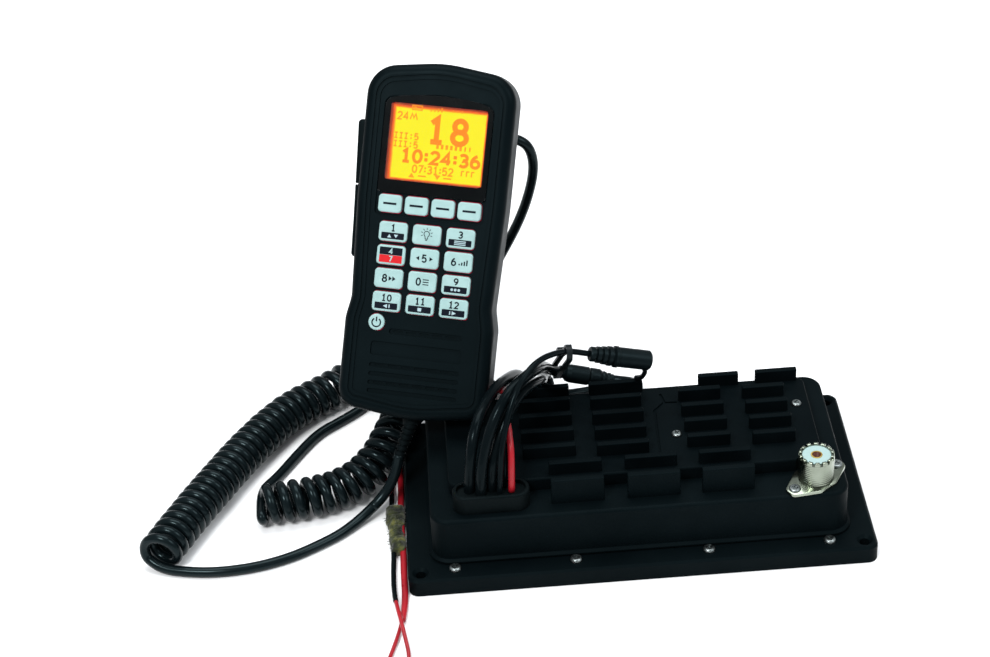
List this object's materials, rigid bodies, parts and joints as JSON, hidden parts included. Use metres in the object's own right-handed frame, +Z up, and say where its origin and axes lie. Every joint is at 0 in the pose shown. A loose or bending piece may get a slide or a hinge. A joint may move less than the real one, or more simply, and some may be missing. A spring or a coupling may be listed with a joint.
{
  "type": "vhf marine radio",
  "caption": "Fixed-mount marine radio: a finned transceiver with an antenna socket, a keypad handset on a hanger, a curly cord and power leads.",
  "frame": {"origin": "centre of the front plate's flat underside, which lies on the surface", "axes": "+X along the plate's long side, towards the antenna socket; +Y from the cable-gland side to the far side; +Z up, along the antenna socket"},
  "size_m": [0.3288, 0.2641, 0.183],
  "materials": {
    "cast_black": "matte black paint over a fine cast grain",
    "black_rubber": "moulded black rubber, soft sheen",
    "steel_screws": "plain steel with cross recesses",
    "nickel": "nickel plate, slightly warm",
    "insulator": "pale cream insulator",
    "brass": "bright brass contact",
    "circuit_board": "green board with tinned cans",
    "hanger_black": "satin black powder coat",
    "handset_plastic": "fine-textured black moulding with a satin sheen",
    "display_gloss": "glossy clear lens",
    "white_keys": "off-white translucent key plastic",
    "speaker_cone": "black cone",
    "cable_jacket": "glossy black cable jacket",
    "moulded_black": "satin moulded plug",
    "red_jacket": "glossy red wire jacket",
    "olive_wrap": "worn olive cloth tape",
    "display_glow": "amber backlit display"
  },
  "bodies": {
    "transceiver": {"front_plate": "cast_black", "plate_gasket": "black_rubber", "chassis": "cast_black", "heat_sink": "cast_black", "plate_screws": "steel_screws", "heat_sink_screws": "steel_screws", "cable_gland": "black_rubber", "socket_shell": "nickel", "socket_insulator": "insulator", "socket_contact": "brass", "socket_screws": "steel_screws", "main_board": "circuit_board", "hanger_arm": "hanger_black", "hanger_plate": "hanger_black", "hanger_screws": "steel_screws", "cable_a": "cable_jacket", "plug_a": "moulded_black", "cable_b": "cable_jacket", "socket_b": "moulded_black", "cable_c": "cable_jacket", "accessory_lead": "cable_jacket", "accessory_plugs": "moulded_black", "cable_ties": "moulded_black", "power_red": "red_jacket", "power_black": "cable_jacket", "lead_wrap": "olive_wrap", "power_coil": "red_jacket", "handset_lead": "cable_jacket", "handset_coil": "cable_jacket", "handset_tail": "cable_jacket", "handset_plug": "moulded_black"},
    "handset": {"front_shell": "handset_plastic", "rear_shell": "handset_plastic", "shell_screws": "steel_screws", "display_lens": "display_gloss", "lcd_module": "display_glow", "key_mat": "white_keys", "handset_board": "circuit_board", "speaker": "speaker_cone", "microphone": "nickel", "strain_relief": "black_rubber", "hanger_stud": "handset_plastic"},
    "key_1_1": {"key_1_1": "white_keys"},
    "key_1_2": {"key_1_2": "white_keys"},
    "key_1_3": {"key_1_3": "white_keys"},
    "key_2_1": {"key_2_1": "white_keys"},
    "key_2_2": {"key_2_2": "white_keys"},
    "key_2_3": {"key_2_3": "white_keys"},
    "key_3_1": {"key_3_1": "white_keys"},
    "key_3_2": {"key_3_2": "white_keys"},
    "key_3_3": {"key_3_3": "white_keys"},
    "key_4_1": {"key_4_1": "white_keys"},
    "key_4_2": {"key_4_2": "white_keys"},
    "key_4_3": {"key_4_3": "white_keys"},
    "soft_key_1": {"soft_key_1": "white_keys"},
    "soft_key_2": {"soft_key_2": "white_keys"},
    "soft_key_3": {"soft_key_3": "white_keys"},
    "soft_key_4": {"soft_key_4": "white_keys"},
    "power_key": {"power_key": "white_keys"},
    "ptt_bar": {"ptt_bar": "handset_plastic"}
  },
  "joints": [
    {"name": "handset_lift", "type": "slide", "parent": "transceiver", "child": "handset", "axis": [0.1718, 0.5113, 0.842], "range_m": [0, 0.012]},
    {"name": "key_1_1_press", "type": "slide", "parent": "handset", "child": "key_1_1", "axis": [0.1644, 0.8279, -0.5363], "range_m": [0, 0.0008], "stiffness_N_per_m": 700},
    {"name": "key_1_2_press", "type": "slide", "parent": "handset", "child": "key_1_2", "axis": [0.1644, 0.8279, -0.5363], "range_m": [0, 0.0008], "stiffness_N_per_m": 700},
    {"name": "key_1_3_press", "type": "slide", "parent": "handset", "child": "key_1_3", "axis": [0.1644, 0.8279, -0.5363], "range_m": [0, 0.0008], "stiffness_N_per_m": 700},
    {"name": "key_2_1_press", "type": "slide", "parent": "handset", "child": "key_2_1", "axis": [0.1644, 0.8279, -0.5363], "range_m": [0, 0.0008], "stiffness_N_per_m": 700},
    {"name": "key_2_2_press", "type": "slide", "parent": "handset", "child": "key_2_2", "axis": [0.1644, 0.8279, -0.5363], "range_m": [0, 0.0008], "stiffness_N_per_m": 700},
    {"name": "key_2_3_press", "type": "slide", "parent": "handset", "child": "key_2_3", "axis": [0.1644, 0.8279, -0.5363], "range_m": [0, 0.0008], "stiffness_N_per_m": 700},
    {"name": "key_3_1_press", "type": "slide", "parent": "handset", "child": "key_3_1", "axis": [0.1644, 0.8279, -0.5363], "range_m": [0, 0.0008], "stiffness_N_per_m": 700},
    {"name": "key_3_2_press", "type": "slide", "parent": "handset", "child": "key_3_2", "axis": [0.1644, 0.8279, -0.5363], "range_m": [0, 0.0008], "stiffness_N_per_m": 700},
    {"name": "key_3_3_press", "type": "slide", "parent": "handset", "child": "key_3_3", "axis": [0.1644, 0.8279, -0.5363], "range_m": [0, 0.0008], "stiffness_N_per_m": 700},
    {"name": "key_4_1_press", "type": "slide", "parent": "handset", "child": "key_4_1", "axis": [0.1644, 0.8279, -0.5363], "range_m": [0, 0.0008], "stiffness_N_per_m": 700},
    {"name": "key_4_2_press", "type": "slide", "parent": "handset", "child": "key_4_2", "axis": [0.1644, 0.8279, -0.5363], "range_m": [0, 0.0008], "stiffness_N_per_m": 700},
    {"name": "key_4_3_press", "type": "slide", "parent": "handset", "child": "key_4_3", "axis": [0.1644, 0.8279, -0.5363], "range_m": [0, 0.0008], "stiffness_N_per_m": 700},
    {"name": "soft_key_1_press", "type": "slide", "parent": "handset", "child": "soft_key_1", "axis": [0.1644, 0.8279, -0.5363], "range_m": [0, 0.0008], "stiffness_N_per_m": 700},
    {"name": "soft_key_2_press", "type": "slide", "parent": "handset", "child": "soft_key_2", "axis": [0.1644, 0.8279, -0.5363], "range_m": [0, 0.0008], "stiffness_N_per_m": 700},
    {"name": "soft_key_3_press", "type": "slide", "parent": "handset", "child": "soft_key_3", "axis": [0.1644, 0.8279, -0.5363], "range_m": [0, 0.0008], "stiffness_N_per_m": 700},
    {"name": "soft_key_4_press", "type": "slide", "parent": "handset", "child": "soft_key_4", "axis": [0.1644, 0.8279, -0.5363], "range_m": [0, 0.0008], "stiffness_N_per_m": 700},
    {"name": "power_key_press", "type": "slide", "parent": "handset", "child": "power_key", "axis": [0.1644, 0.8279, -0.5363], "range_m": [0, 0.0008], "stiffness_N_per_m": 700},
    {"name": "ptt_press", "type": "slide", "parent": "handset", "child": "ptt_bar", "axis": [0.9713, -0.2305, -0.0581], "range_m": [0, 0.0012], "stiffness_N_per_m": 900}
  ]
}
